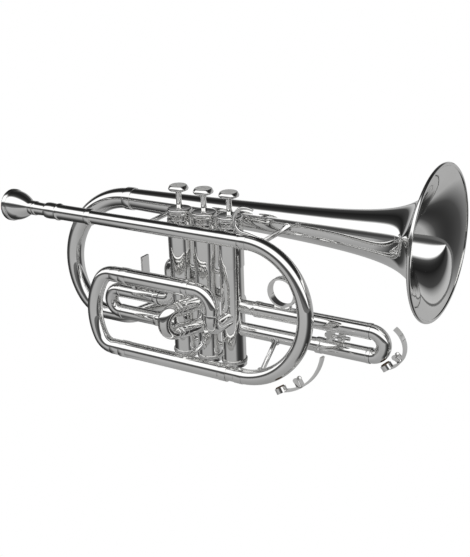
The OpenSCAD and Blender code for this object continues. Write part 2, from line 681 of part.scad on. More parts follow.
brace_x = [61, -42];
module bell_brace(x, drop, r) color(silver) difference() {
    brace(lead_point(x, drop), [x, bell_y, lead_z - drop], r - 0.8, bell_at(x) - 0.8);
    bar([x - 12, bell_y, bell_z], [x + 12, bell_y, bell_z], bell_at(x + 4) + touch);
    bar([x - 12, lead_y, lead_z], [min(x + 12, bow_x), lead_y, lead_z], bow_tube_r + touch);
    bow_space();
}

module brace_front() bell_brace(brace_x[0], bow_r - sqrt(pow(bow_r, 2) - pow(brace_x[0] - bow_x, 2)), bow_tube_r);
module brace_rear() bell_brace(brace_x[1], 0, pipe_r);

low_x = 66;
low_drop = bow_r + sqrt(pow(bow_r, 2) - pow(low_x - bow_x, 2));
module brace_low() color(silver) difference() {
    brace(lead_point(low_x, low_drop), [low_x - 3, 0, third_z], bow_tube_r - 0.8, leg_in - 0.8);
    bow_space();
    bar([40, 0, third_z], [90, 0, third_z], leg_in + touch);
}

module brace_valve() color(silver) difference() {
    brace([0, 0, 17], lead_point(-3, lower_drop), casing_r - 0.8, outer_r - 0.8);
    casing_space(1);
    bar(lead_point(-20, lower_drop), lead_point(20, lower_drop), outer_r + touch);
}

// ---- moving valve slides ----
module slide_bow(start, head, gap, r) {
    elbow(start, head, [0, 0, -1], gap / 2, 180, r);
    for (z = [0, -gap]) bead(start + [0, 0, z], head, r);
}

first_back = first_start - 1.5;               // the leg is straight from here on
module first_slide() color(silver) difference() {
    union() {
        for (z = [first_z, first_top]) {
            bar([first_x, first_y, z], [first_back, first_y, z], leg_r);
            ferrule([first_back - 5, first_y, z], [first_back, first_y, z], leg_r + 0.5, 1);
        }
        slide_bow([first_x, first_y, first_top], [-1, 0, 0], leg_gap, leg_in + 0.2);
    }
    for (z = [first_z, first_top]) {
        bar([first_x + 2, first_y, z], [first_back + 1, first_y, z], leg_bore);
        bar([first_x, first_y, z], [first_x + 3, first_y, z], port_r);
    }
    slide_bow([first_x, first_y, first_top], [-1, 0, 0], leg_gap, port_r);
}

// Hook for the thumb, standing on the first slide's upper sleeve
saddle_x = -63;
module thumb_saddle() color(silver) difference() {
    union() {
        translate([saddle_x - 12, first_y, 0]) band([0, 0, first_top + leg_r + 0.6], [1, 0, 0], [0, 0, 1],
            [[4, 0], [8, 90], [20, 0]], 1.8, 9);
    }
    bar([first_x, first_y, first_top], [first_back, first_y, first_top], leg_r + touch);
}

module second_slide() color(silver) rotate([0, 0, second_az]) difference() {
    foot = second_l + 3;
    union() {
        for (z = [third_z, third_top]) {
            bar([casing_r + 4, 0, z], [foot, 0, z], leg_in);
            ferrule([second_l + touch, 0, z], [foot, 0, z], leg_r, 1);
        }
        slide_bow([foot, 0, third_top], [1, 0, 0], leg_gap, leg_in + 0.1);
    }
    for (z = [third_z, third_top]) bar([casing_r, 0, z], [foot, 0, z], port_r);
    slide_bow([foot, 0, third_top], [1, 0, 0], leg_gap, port_r);
}

third_mid = [third_x, 0, third_z + leg_gap / 2];
third_pivot = third_mid + [19, 0, -6];
third_cup = third_mid + [10.5, 0, -13.5];
module third_slide() color(silver) difference() {
    union() {
        for (leg = [[third_z, 97], [third_top, 44]]) {
            bar([leg[1], 0, leg[0]], [third_x, 0, leg[0]], leg_r);
            ferrule([leg[1], 0, leg[0]], [leg[1] + 5, 0, leg[0]], leg_r + 0.5, 1);
            ferrule([third_x - 3, 0, leg[0]], [third_x, 0, leg[0]], leg_r + 0.4, 1);
        }
        slide_bow([third_x, 0, third_top], [1, 0, 0], leg_gap, leg_in + 0.2);
        bar(toward(third_cup, third_mid, 8), third_cup, 2.6);
        key_saddle(toward(third_pivot, third_mid, 6), third_pivot);
    }
    for (leg = [[third_z, 97], [third_top, 44]]) {
        bar([leg[1] - 1, 0, leg[0]], [third_x - 2, 0, leg[0]], leg_bore);
        bar([third_x - 3, 0, leg[0]], [third_x, 0, leg[0]], port_r);
    }
    slide_bow([third_x, 0, third_top], [1, 0, 0], leg_gap, port_r);
    bar(toward(third_cup, third_mid, 8.5), third_cup + unit(third_cup - third_mid), 1.5);
}

// Stop rod and lock nut between the third slide's sleeves
module third_stop() color(silver) difference() {
    union() {
        translate([106, -2.5, third_z]) cube([5, 5, leg_gap]);
        bar([104, 0, third_z + leg_gap / 2], [124, 0, third_z + leg_gap / 2], 1.6);
        bar([116, 0, third_z + leg_gap / 2], [119, 0, third_z + leg_gap / 2], 3.2);
    }
    for (z = [third_z, third_top]) bar([90, 0, z], [130, 0, z], leg_r + touch);
}

// ---- water keys ----
// Lever bent along the arc through three points; pin, ears and cork cup in one piece
module water_key(pivot, cup, from, past, tip, centre) {
    c = centre3([from[0], from[2]], [past[0], past[2]], [tip[0], tip[2]]);
    r = norm([from[0], from[2]] - c);
    a0 = atan2(from[2] - c[1], from[0] - c[0]);
    a1 = atan2(tip[2] - c[1], tip[0] - c[0]);
    out = unit(cup - centre);
    reach = r - norm([pivot[0], pivot[2]] - c);
    difference() {
        union() {
            rotate([90, 0, 0]) translate([c[0], c[1], 0]) rotate([0, 0, a0])
                rotate_extrude(angle = a1 - a0, $fn = fine) translate([r, 0]) square([1.6, 5], center = true);
            translate([pivot[0], 3.6, pivot[2]]) rotate([90, 0, 0]) cylinder(h = 7.2, r = key_pin, $fn = mid);
            for (y = [-3.6, 2.5]) translate([pivot[0], y, pivot[2]])
                rotate([0, -atan2(pivot[2] - c[1], pivot[0] - c[0]), 0]) {
                    translate([0, 0, -1.5]) cube([reach, 1.1, 3]);
                    translate([0, 1.1, 0]) rotate([90, 0, 0]) cylinder(h = 1.1, r = 1.9, $fn = mid);
                }
            translate([pivot[0], 0, pivot[2]]) rotate([0, -atan2(pivot[2] - c[1], pivot[0] - c[0]), 0])
                translate([reach - 0.5, -3.7, -2]) cube([1.1, 7.4, 4]);
            bar(cup + out * 0.8, cup + out * 5, 4.4);
        }
        bar(cup, cup + out * 2.5, 3.4);
    }
}

module key_cork(cup, centre) {
    out = unit(cup - centre);
    bar(cup + out * key_gap, cup + out * (2.5 - touch), 3.4 - touch);
}

main_from = main_cup + [3, 0, -2.6];
main_past = main_pivot + [6.2, 0, -2.8];
main_tip = main_pivot + [19.4, 0, 21.6];
module main_key() color(silver) in_loop() water_key(main_pivot, main_cup, main_from, main_past, main_tip, bow_mid);
module main_key_cork() color([0.72, 0.55, 0.36]) in_loop() key_cork(main_cup, bow_mid);

third_from = third_cup + [4.5, 0, -2.4];
third_past = third_pivot + [6.5, 0, 2.6];
third_tip = third_pivot + [-1.1, 0, 21.6];
module third_key() color(silver) water_key(third_pivot, third_cup, third_from, third_past, third_tip, third_mid);
module third_key_cork() color([0.72, 0.55, 0.36]) key_cork(third_cup, third_mid);

mouthpiece();
receiver();
mouthpipe();
front_bow();
lower_run();
main_outer_upper();
gooseneck();
casing_1();
casing_2();
casing_3();
top_cap_1();
top_cap_2();
top_cap_3();
bottom_cap_1();
bottom_cap_2();
bottom_cap_3();
guide_1();
guide_2();
guide_3();
spring_1();
spring_2();
spring_3();
piston_1();
piston_2();
piston_3();
stem_1();
stem_2();
stem_3();
button_face_1();
button_face_2();
button_face_3();
felt_1();
felt_2();
felt_3();
crossover_12();
crossover_23();
first_legs();
second_outer();
third_legs();
bell();
bell_bow();
bell_tail();
finger_ring();
pinky_hook();
brace_front();
brace_rear();
brace_low();
brace_valve();
casing_ties();
main_slide();
first_slide();
thumb_saddle();
second_slide();
third_slide();
third_stop();
main_key();
main_key_cork();
third_key();
third_key_cork();
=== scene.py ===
# A silver-plated cornet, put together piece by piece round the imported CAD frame, in metres.
import json
import math
import bmesh
import bpy
import numpy as np
from mathutils import Matrix, Vector


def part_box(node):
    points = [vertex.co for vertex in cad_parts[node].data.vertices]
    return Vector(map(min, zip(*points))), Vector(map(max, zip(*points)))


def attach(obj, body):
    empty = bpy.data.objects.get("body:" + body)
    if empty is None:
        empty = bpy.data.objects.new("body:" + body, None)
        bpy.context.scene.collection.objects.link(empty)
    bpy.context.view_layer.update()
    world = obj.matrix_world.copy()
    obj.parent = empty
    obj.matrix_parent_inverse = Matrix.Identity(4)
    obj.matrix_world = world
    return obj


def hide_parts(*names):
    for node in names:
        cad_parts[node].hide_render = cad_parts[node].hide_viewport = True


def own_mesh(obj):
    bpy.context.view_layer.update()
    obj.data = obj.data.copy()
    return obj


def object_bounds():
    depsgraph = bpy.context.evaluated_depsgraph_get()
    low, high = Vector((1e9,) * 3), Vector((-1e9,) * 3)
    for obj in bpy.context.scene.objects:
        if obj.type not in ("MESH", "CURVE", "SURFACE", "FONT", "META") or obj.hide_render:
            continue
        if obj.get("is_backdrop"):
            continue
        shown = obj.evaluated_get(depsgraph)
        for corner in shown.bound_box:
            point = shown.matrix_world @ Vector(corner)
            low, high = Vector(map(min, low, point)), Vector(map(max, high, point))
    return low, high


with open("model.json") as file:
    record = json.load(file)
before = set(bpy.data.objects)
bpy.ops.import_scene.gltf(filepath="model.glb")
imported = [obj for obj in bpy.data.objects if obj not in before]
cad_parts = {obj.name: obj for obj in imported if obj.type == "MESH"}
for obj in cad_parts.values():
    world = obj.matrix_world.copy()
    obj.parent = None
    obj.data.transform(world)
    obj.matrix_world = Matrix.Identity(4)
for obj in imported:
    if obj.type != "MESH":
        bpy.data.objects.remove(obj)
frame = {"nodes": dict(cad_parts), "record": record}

cad_box = [list(c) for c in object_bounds()]

# ---- Camera, studio light and floor ----
# The horn hangs over white paper in a dark studio with one long softbox, so that polished metal shows the
# grey floor, the white box and thin black lines between the two.
camera = bpy.data.objects.new("camera", bpy.data.cameras.new("camera"))
bpy.context.scene.collection.objects.link(camera)
bpy.context.scene.camera = camera
azimuth, elevation, roll = (math.radians(a) for a in (31.984, 20.548, -2.033))
right = Vector((math.cos(azimuth), math.sin(azimuth), 0))
ahead = Vector((-math.sin(azimuth) * math.cos(elevation), math.cos(azimuth) * math.cos(elevation),
                -math.sin(elevation)))
up = right.cross(ahead)
across = right * math.cos(roll) + up * math.sin(roll)
upward = up * math.cos(roll) - right * math.sin(roll)
turn = Matrix((across, upward, -ahead)).transposed()
camera.matrix_world = Matrix.Translation((0.42971, -0.64661, 0.35944)) @ turn.to_4x4()
camera.data.sensor_width = 36
camera.data.sensor_fit = "HORIZONTAL"
camera.data.lens = 80.4255
camera.data.clip_end = 50
bpy.context.scene.view_settings.view_transform = "Standard"


def ramp(nodes, stops, mode="LINEAR"):
    """Colour ramp node: stops are (position, grey or colour)."""
    node = nodes.new("ShaderNodeValToRGB")
    node.color_ramp.interpolation = mode
    while len(node.color_ramp.elements) < len(stops):
        node.color_ramp.elements.new(0.5)
    for element, (at, colour) in zip(node.color_ramp.elements, stops):
        element.position = at
        element.color = (colour, colour, colour, 1) if isinstance(colour, float) else (*colour, 1)
    return node


def math_node(nodes, links, operation, first, second):
    """Math node of two inputs; each input is a socket or a number."""
    node = nodes.new("ShaderNodeMath")
    node.operation = operation
    for socket, value in zip(node.inputs, (first, second)):
        if isinstance(value, (int, float)):
            socket.default_value = value
        else:
            links.new(value, socket)
    return node.outputs[0]


# The walls and ceiling change only with the angle about the horn's length, measured up from its front:
# a dark front wall, one long white softbox above it, and a dark ceiling that pales low down at the back.
world = bpy.data.worlds.new("studio")
bpy.context.scene.world = world
world.use_nodes = True
tree = world.node_tree
tree.nodes.clear()
direction = tree.nodes.new("ShaderNodeTexCoord")
height = tree.nodes.new("ShaderNodeSeparateXYZ")
tree.links.new(direction.outputs["Generated"], height.inputs[0])
front = math_node(tree.nodes, tree.links, "MULTIPLY", height.outputs["Y"], -1)
over = math_node(tree.nodes, tree.links, "ARCTAN2", height.outputs["Z"], front)
half_turn = math_node(tree.nodes, tree.links, "DIVIDE", over, math.pi)
walls = ramp(tree.nodes, [(degrees / 180, grey) for degrees, grey in (
    (0, 0.12), (6, 0.11), (11, 0.05), (19, 0.05), (25, 0.14), (28, 0.5), (32, 1.0), (73, 1.0), (79, 0.35),
    (84, 0.07), (93, 0.035), (103, 0.02), (122, 0.012), (138, 0.03), (158, 0.05), (166, 0.25), (173, 0.42),
    (180, 0.48))])
glow = tree.nodes.new("ShaderNodeBackground")
glow.inputs["Strength"].default_value = 1.15
tree.links.new(half_turn, walls.inputs[0])
tree.links.new(walls.outputs[0], glow.inputs["Color"])
tree.links.new(glow.outputs[0], tree.nodes.new("ShaderNodeOutputWorld").inputs["Surface"])

# The camera sees white paper. The horn sees it grey, with a painted shadow right under itself and painted
# shade on its left and right ends, as if they fell off into the dark room.
FLOOR_DROP = 0.22
bpy.ops.mesh.primitive_plane_add(size=14, location=(0, 0, cad_box[0][2] - FLOOR_DROP))
floor = bpy.context.object
floor.name = "floor"
floor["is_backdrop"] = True
paper = bpy.data.materials.new("studio_paper")
paper.use_nodes = True
tree = paper.node_tree
tree.nodes.clear()
seen = tree.nodes.new("ShaderNodeLightPath")
lit = tree.nodes.new("ShaderNodeEmission")
lit.inputs["Color"].default_value = (1, 1, 1, 1)
dim = tree.nodes.new("ShaderNodeEmission")
place = tree.nodes.new("ShaderNodeTexCoord")
spread = tree.nodes.new("ShaderNodeVectorMath")
spread.operation = "LENGTH"
apart = tree.nodes.new("ShaderNodeSeparateXYZ")
tree.links.new(place.outputs["Object"], spread.inputs[0])
tree.links.new(place.outputs["Object"], apart.inputs[0])
reach = math_node(tree.nodes, tree.links, "MAXIMUM", spread.outputs["Value"], 0.3)
aside = math_node(tree.nodes, tree.links, "ABSOLUTE", apart.outputs["X"], 0)
side = math_node(tree.nodes, tree.links, "DIVIDE", aside, reach)
far = math_node(tree.nodes, tree.links, "DIVIDE", spread.outputs["Value"], 5)
# Painted shadow: the floor's glow is darkest right under the horn and brightens with distance.
painted_floor_shadow = ramp(tree.nodes, [(0.0, 0.3), (0.05, 0.36), (0.14, 0.43), (1.0, 0.47)])
# Painted shade: the glow falls off towards the floor's left and right ends.
edge = ramp(tree.nodes, [(0.68, 1.0), (0.8, 0.5), (0.9, 0.16), (1.0, 0.08)])
shade = tree.nodes.new("ShaderNodeMix")
shade.data_type = "RGBA"
shade.blend_type = "MULTIPLY"
shade.inputs["Factor"].default_value = 1
tree.links.new(far, painted_floor_shadow.inputs[0])
tree.links.new(side, edge.inputs[0])
tree.links.new(painted_floor_shadow.outputs[0], shade.inputs["A"])
tree.links.new(edge.outputs[0], shade.inputs["B"])
tree.links.new(shade.outputs["Result"], dim.inputs["Color"])
both = tree.nodes.new("ShaderNodeMixShader")
tree.links.new(seen.outputs["Is Camera Ray"], both.inputs[0])
tree.links.new(dim.outputs[0], both.inputs[1])
tree.links.new(lit.outputs[0], both.inputs[2])
tree.links.new(both.outputs[0], tree.nodes.new("ShaderNodeOutputMaterial").inputs["Surface"])
floor.data.materials.append(paper)

lamp = bpy.data.objects.new("softbox", bpy.data.lights.new("softbox", "AREA"))
lamp.data.energy = 10
lamp.data.size = 0.9
lamp.visible_glossy = False
lamp.location = (0.5, -0.5, 1.5)
lamp.rotation_euler = Vector((-0.5, 0.5, -1.4)).to_track_quat("-Z", "Y").to_euler()
bpy.context.scene.collection.objects.link(lamp)

# ---- Valve casings ----
# Three drawn tubes, lapped inside for the pistons, each with a wider sleeve round its upper part.
# They are silver plated all over and soldered to each other by short ties.


def polish_group():
    """Node group for plate: faint cloudy tarnish, fine wiping marks and the slow waves of hand polishing."""
    group = bpy.data.node_groups.new("hand_polish", "ShaderNodeTree")
    face = group.interface
    for label, kind, value in (("Clouding", "NodeSocketFloat", 0.5), ("Marks", "NodeSocketFloat", 0.5)):
        face.new_socket(label, in_out="INPUT", socket_type=kind).default_value = value
    for label, kind in (("Color", "NodeSocketColor"), ("Roughness", "NodeSocketFloat"),
                        ("Height", "NodeSocketFloat")):
        face.new_socket(label, in_out="OUTPUT", socket_type=kind)
    n, link = group.nodes, group.links.new
    come, go = n.new("NodeGroupInput"), n.new("NodeGroupOutput")
    where = n.new("ShaderNodeTexCoord")
    cloud = n.new("ShaderNodeTexNoise")
    cloud.inputs["Scale"].default_value = 38
    cloud.inputs["Detail"].default_value = 5
    wipe_map = n.new("ShaderNodeMapping")
    wipe_map.inputs["Scale"].default_value = (0.25, 1, 1)
    wipe = n.new("ShaderNodeTexNoise")
    wipe.inputs["Scale"].default_value = 1600
    wipe.inputs["Detail"].default_value = 2
    wave = n.new("ShaderNodeTexNoise")
    wave.inputs["Scale"].default_value = 60
    wave.inputs["Detail"].default_value = 1
    link(where.outputs["Object"], cloud.inputs["Vector"])
    link(where.outputs["Object"], wave.inputs["Vector"])
    link(where.outputs["Object"], wipe_map.inputs["Vector"])
    link(wipe_map.outputs[0], wipe.inputs["Vector"])
    stain = ramp(n, [(0.35, 0.0), (0.75, 1.0)])
    link(cloud.outputs["Fac"], stain.inputs[0])
    amount = math_node(n, group.links, "MULTIPLY", stain.outputs[0], come.outputs["Clouding"])
    tint = n.new("ShaderNodeMix")
    tint.data_type = "RGBA"
    tint.inputs["A"].default_value = (0.93, 0.93, 0.925, 1)
    tint.inputs["B"].default_value = (0.8, 0.785, 0.75, 1)
    link(amount, tint.inputs["Factor"])
    link(tint.outputs["Result"], go.inputs["Color"])
    rough = n.new("ShaderNodeMapRange")
    rough.inputs["To Min"].default_value = 0.035
    rough.inputs["To Max"].default_value = 0.13
    link(amount, rough.inputs["Value"])
    link(rough.outputs[0], go.inputs["Roughness"])
    fine = math_node(n, group.links, "MULTIPLY", wipe.outputs["Fac"], come.outputs["Marks"])
    slow = math_node(n, group.links, "MULTIPLY", wave.outputs["Fac"], 2.5)
    link(math_node(n, group.links, "ADD", slow, fine), go.inputs["Height"])
    return group


hand_polish = polish_group()


def plated(name, clouding=0.3, marks=0.06, depth=0.00002):
    """Silver plate: hand_polish drives its colour, roughness and bump."""
    material = bpy.data.materials.new(name)
    material.use_nodes = True
    n, link = material.node_tree.nodes, material.node_tree.links.new
    shader = n["Principled BSDF"]
    shader.inputs["Metallic"].default_value = 1
    group = n.new("ShaderNodeGroup")
    group.node_tree = hand_polish
    group.inputs["Clouding"].default_value = clouding
    group.inputs["Marks"].default_value = marks
    bump = n.new("ShaderNodeBump")
    bump.inputs["Strength"].default_value = 1
    bump.inputs["Distance"].default_value = depth
    link(group.outputs["Color"], shader.inputs["Base Color"])
    link(group.outputs["Roughness"], shader.inputs["Roughness"])
    link(group.outputs["Height"], bump.inputs["Height"])
    link(bump.outputs[0], shader.inputs["Normal"])
    return material


finish_slot = {"silver_plate": plated("silver_plate")}


def piece(name, mesh, body, slot, *nodes):
    """Puts a finished mesh on its CAD body, in its finish, in place of the CAD nodes it stands for."""
    thing = bpy.data.objects.new(name, mesh)
    bpy.context.scene.collection.objects.link(thing)
    mesh.materials.clear()
    mesh.materials.append(finish_slot[slot])
    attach(thing, body)
    if nodes:
        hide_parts(*nodes)
    return thing


def shell(name, grid, loop=False, ends=True, crease=32):
    """Mesh on a grid of rings, in millimetres: grid[i, j] is point j round ring i, and each ring is closed.
    loop joins the last ring to the first; ends puts a fan of triangles on each open end."""
    rings, around, _ = grid.shape
    verts = grid.reshape(-1, 3)
    i = np.arange(rings if loop else rings - 1)[:, None]
    j = np.arange(around)[None, :]
    here, there = i * around, (i + 1) % rings * around
    after = (j + 1) % around
    quads = np.stack([here + j, here + after, there + after, there + j], -1)
    faces = quads.reshape(-1, 4).tolist()
    if ends and not loop:
        middle = np.stack([grid[0].mean(0), grid[-1].mean(0)])
        base = len(verts)
        verts = np.vstack([verts, middle])
        k = np.arange(around)
        first = np.stack([np.full(around, base), (k + 1) % around, k], -1)
        last = (rings - 1) * around
        second = np.stack([np.full(around, base + 1), last + k, last + (k + 1) % around], -1)
        faces += first.tolist() + second.tolist()
    mesh = bpy.data.meshes.new(name)
    mesh.from_pydata((verts / 1000).tolist(), [], faces)
    work = bmesh.new()
    work.from_mesh(mesh)
    bmesh.ops.remove_doubles(work, verts=work.verts, dist=1e-7)
    if work.calc_volume(signed=True) < 0:
        bmesh.ops.reverse_faces(work, faces=work.faces)
    work.to_mesh(mesh)
    work.free()
    mesh.polygons.foreach_set("use_smooth", [True] * len(mesh.polygons))
    mesh.set_sharp_from_angle(angle=math.radians(crease))
    mesh.update()
    return mesh


def turned(name, profile, foot, axis, around=96, loop=False, ripple=None):
    """Lathe work: each (radius, distance) of the profile is a ring about the axis through foot.
    ripple(angle, distance) adds to the radius, for knurls."""
    profile = np.array(profile, float)
    axis = np.array(axis, float) / np.linalg.norm(axis)
    side = np.cross(axis, [0, 0, 1.0]) if abs(axis[2]) < 0.9 else np.array([1.0, 0, 0])
    side /= np.linalg.norm(side)
    other = np.cross(axis, side)
    angle = np.arange(around) * 2 * math.pi / around
    radius = profile[:, :1] + (0 if ripple is None else ripple(angle[None, :], profile[:, 1:]))
    radius = np.maximum(radius, 0)[..., None]
    spoke = np.cos(angle)[:, None] * side + np.sin(angle)[:, None] * other
    grid = np.array(foot, float) + profile[:, 1][:, None, None] * axis + radius * spoke
    return shell(name, grid, loop=loop)


def mid(node):
    """Middle of a CAD node's box, in millimetres."""
    low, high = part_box(node)
    return np.array((low + high) / 2) * 1000


ALONG = (1, 0, 0)
UP = (0, 0, 1)
WALL = 0.5
for k in "123":
    x = mid("casing_" + k)[0]
    body = turned("casing_tube_" + k, [
        (9.05, 2), (9.05, 6.2), (9.5, 6.25), (9.5, 84), (9.8, 84.05), (10.15, 84.3), (10.2, 84.6),
        (10.2, 116.2), (10.1, 116.45), (9.05, 116.5), (9.05, 122.4), (8.4, 122.5), (8.4, 2)],
        (x, 0, 0), UP, loop=True)
    piece("casing_tube_" + k, body, "horn", "silver_plate", "casing_" + k)

# ---- Top caps ----
# Screwed caps turned from brass bar: a plain skirt, a groove, a rounded bead at the shoulder and a flat
# plate that the stem goes through.
for k in "123":
    x = mid("top_cap_" + k)[0]
    bead = [(9.1 + 0.85 * math.cos(a), 123.35 + 1.3 * math.sin(a)) for a in np.linspace(-1.35, 1.5, 14)]
    cap = turned("cap_top_" + k, [
        (9.07, 116.5), (9.6, 116.5), (9.75, 116.6), (9.8, 116.8), (9.8, 119.6), (9.6, 119.75), (9.6, 120.1),
        (9.8, 120.25), (9.8, 120.9), (9.55, 121.15), (9.15, 121.3), (9.05, 121.6), (9.15, 121.9)] + bead + [
        (8.9, 124.75), (8.6, 124.7), (3.4, 124.7), (3.3, 125), (2.36, 125), (2.36, 123.2), (8.9, 123.2)],
        (x, 0, 0), UP, loop=True)
    piece("cap_top_" + k, cap, "horn", "silver_plate", "top_cap_" + k)

# ---- Bottom caps ----
# Screwed cups that close the casings, with a milled flange for the fingers.


def milled(low, high, deep, teeth):
    """Grip milling: a raised-cosine ridge, teeth times round, between two heights only."""
    return lambda angle, z: np.where((z > low) & (z < high), -deep * (0.5 + 0.5 * np.cos(teeth * angle)), 0)


for k in "123":
    x = mid("bottom_cap_" + k)[0]
    cap = turned("cap_bottom_" + k, [
        (0.02, 0), (9.0, 0), (9.5, 0.2), (9.85, 0.6), (9.9, 1), (9.9, 3.4), (10.1, 3.6), (10.5, 4),
        (10.5, 5.7), (10.3, 6.1), (9.6, 6.2), (9.07, 6.2), (9.07, 1.8), (0.02, 1.8)],
        (x, 0, 0), UP, around=288, loop=True, ripple=milled(3.7, 5.8, 0.3, 60))
    piece("cap_bottom_" + k, cap, "horn", "silver_plate", "bottom_cap_" + k)

# ---- Valve stems and finger buttons ----
# A turned button on a thin stem, screwed into the top of each piston. A satin disc is let into the button.
for k in "123":
    x = mid("stem_" + k)[0]
    stem = turned("stem_and_button_" + k, [
        (0.02, 117.4), (1.55, 117.4), (1.55, 120.2), (2.25, 120.25), (2.3, 120.4), (2.3, 137.1),
        (2.6, 137.35), (3.4, 137.8), (5, 138.5), (6.8, 139.1), (7.5, 139.5), (7.9, 140.1), (7.95, 140.5),
        (7.85, 141), (7.5, 141.8), (7.0, 142.7), (6.7, 143.05), (6.4, 143.15), (6.37, 142.3), (0.02, 142.3)],
        (x, 0, 0), UP)
    piece("stem_and_button_" + k, stem, "valve_" + k, "silver_plate", "stem_" + k)

pearl = bpy.data.materials.new("button_inlay")
pearl.use_nodes = True
tree = pearl.node_tree
shader = tree.nodes["Principled BSDF"]
shader.inputs["Coat Weight"].default_value = 0.15
grain = tree.nodes.new("ShaderNodeTexNoise")
grain.inputs["Scale"].default_value = 420
grain.inputs["Detail"].default_value = 6
place = tree.nodes.new("ShaderNodeTexCoord")
tone = ramp(tree.nodes, [(0.3, (0.42, 0.42, 0.41)), (0.7, (0.55, 0.55, 0.54))])
worn = ramp(tree.nodes, [(0.3, 0.45), (0.7, 0.3)])
tree.links.new(place.outputs["Object"], grain.inputs["Vector"])
tree.links.new(grain.outputs["Fac"], tone.inputs[0])
tree.links.new(grain.outputs["Fac"], worn.inputs[0])
tree.links.new(tone.outputs[0], shader.inputs["Base Color"])
tree.links.new(worn.outputs[0], shader.inputs["Roughness"])
finish_slot["button_inlay"] = pearl
for k in "123":
    x = mid("button_face_" + k)[0]
    face = turned("button_disc_" + k, [
        (0.02, 142.32), (6.35, 142.32), (6.35, 143.2), (6.1, 143.35), (4, 143.45), (0.02, 143.5)],
        (x, 0, 0), UP)
    piece("button_disc_" + k, face, "valve_" + k, "button_inlay", "button_face_" + k)

# ---- Mouthpiece ----
# Turned from one bar: a rounded rim, a bowl that narrows into a throat, and a tapered shank.
lead = mid("mouthpiece")[1:]
rim_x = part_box("mouthpiece")[0][0] * 1000
steps = np.linspace(0, 1, 32)
bowl = [(5.2 + 7.1 * math.cos(t * math.pi / 2) ** 0.8, 6.2 + 16.3 * t) for t in steps[:-1]]
hollow = [(1.9 + 6.3 * math.sqrt(max(0, 1 - t * t)), 2.55 + 12.5 * t) for t in steps]
mouth = [(13.3, 2.55), (13.3, 5.1), (13.15, 5.35), (12.9, 5.45), (12.75, 5.6), (12.7, 5.9)] + bowl + [
    (5.35, 22.5), (5.75, 22.7), (5.9, 23.3), (5.9, 26), (5.75, 26.5), (5.4, 26.7), (5.4, 26.9), (5.75, 27.1),
    (5.9, 27.6), (5.9, 28.8), (5.7, 29.4), (5.3, 29.8), (5.0, 38.5), (4.9, 39.5), (4.35, 61.5), (3.5, 61.5),
    (2.1, 24), (1.9, 16)] + hollow[::-1] + [
    (10.75 + 2.55 * math.cos(a), 2.55 - 2.55 * math.sin(a)) for a in np.linspace(math.pi, 0, 20)[1:-1]]
mouth_mesh = turned("mouthpiece_turned", mouth, (rim_x, *lead), ALONG, around=128, loop=True)
piece("mouthpiece_turned", mouth_mesh, "mouthpiece", "silver_plate", "mouthpiece")

# ---- Receiver and mouthpipe ----
# The receiver is a heavier sleeve, with turned rings, soldered over the narrow end of the tapered mouthpipe.
start_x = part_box("receiver")[0][0] * 1000
lead = mid("receiver")[1:]
sleeve = [
    (4.95, 0), (5.5, 0), (5.75, 0.15), (6.2, 0.7), (6.5, 1.6), (6.65, 3), (6.7, 5), (6.6, 7.5), (6.4, 10),
    (6.35, 11.8), (6.6, 12.1), (6.95, 12.7), (7.05, 13.5), (6.95, 14.3), (6.6, 14.9), (6.3, 15.2), (6.2, 17),
    (6.2, 42.8), (6.5, 43), (6.75, 43.5), (6.8, 44), (6.8, 47), (6.7, 47.6), (6.4, 48), (5.32, 48),
    (5.32, 34), (3.8, 34), (3.8, 23), (4.38, 23)]
sleeve_mesh = turned("receiver_sleeve", sleeve, (start_x, *lead), ALONG, loop=True)
piece("receiver_sleeve", sleeve_mesh, "horn", "silver_plate", "receiver")
pipe_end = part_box("mouthpipe")[1][0] * 1000
widening = [(5.3 + 0.5 * t, -91 + 133.6 * t) for t in np.linspace(0, 1, 40)[1:]]
pipe = [(3.8, -104.9), (5.3, -104.9), (5.3, -91)] + widening + [(5.8, pipe_end), (5.3, pipe_end)]
pipe_mesh = turned("mouthpipe_tube", pipe, (0, *lead), ALONG, loop=True)
piece("mouthpipe_tube", pipe_mesh, "horn", "silver_plate", "mouthpipe")

# ---- Front bow ----
# A half circle of tube bent over pitch or ice, joined to the mouthpipe and the lower run by ferrules.
LEAN = math.radians(6.3)


def in_loop(points):
    """Points (x, side, drop) of the leaning plane that holds the mouthpipe, front bow and tuning slide."""
    p = np.asarray(points, float)
    return np.stack([p[..., 0], lead[0] + p[..., 1] * math.cos(LEAN) - p[..., 2] * math.sin(LEAN),
                     lead[1] - p[..., 1] * math.sin(LEAN) - p[..., 2] * math.cos(LEAN)], -1)


def sweep(name, path, radius, around=48, loop=False, bore=None):
    """A circle carried along a path: each ring turns by the least needed from the one before.
    With a bore, the path is gone back along inside, which leaves a tube with open ends."""
    path = np.asarray(path, float)
    radius = np.broadcast_to(np.asarray(radius, float), len(path))
    head = np.gradient(path, axis=0)
    head /= np.linalg.norm(head, axis=1)[:, None]
    side = np.cross(head[0], [0.3, 0.5, 0.81])
    sides = []
    for h in head:
        side = side - h * (side @ h)
        side = side / np.linalg.norm(side)
        sides.append(side)
    sides = np.array(sides)
    others = np.cross(head, sides)
    angle = np.arange(around) * 2 * math.pi / around
    spoke = np.cos(angle)[None, :, None] * sides[:, None] + np.sin(angle)[None, :, None] * others[:, None]
    grid = path[:, None] + radius[:, None, None] * spoke
    if bore is not None:
        inside = path[:, None] + (radius - bore)[:, None, None] * spoke
        grid = np.concatenate([grid, inside[::-1]])
        return shell(name, grid, loop=True)
    return shell(name, grid)


def bend(start, head, inward, radius, turn, steps=32):
    """Points along an arc that starts at start, heading along head, and turns towards inward."""
    start, head, inward = (np.array(v, float) for v in (start, head, inward))
    a = np.linspace(0, math.radians(turn), steps)[:, None]
    return start + radius * (head * np.sin(a) + inward * (1 - np.cos(a)))


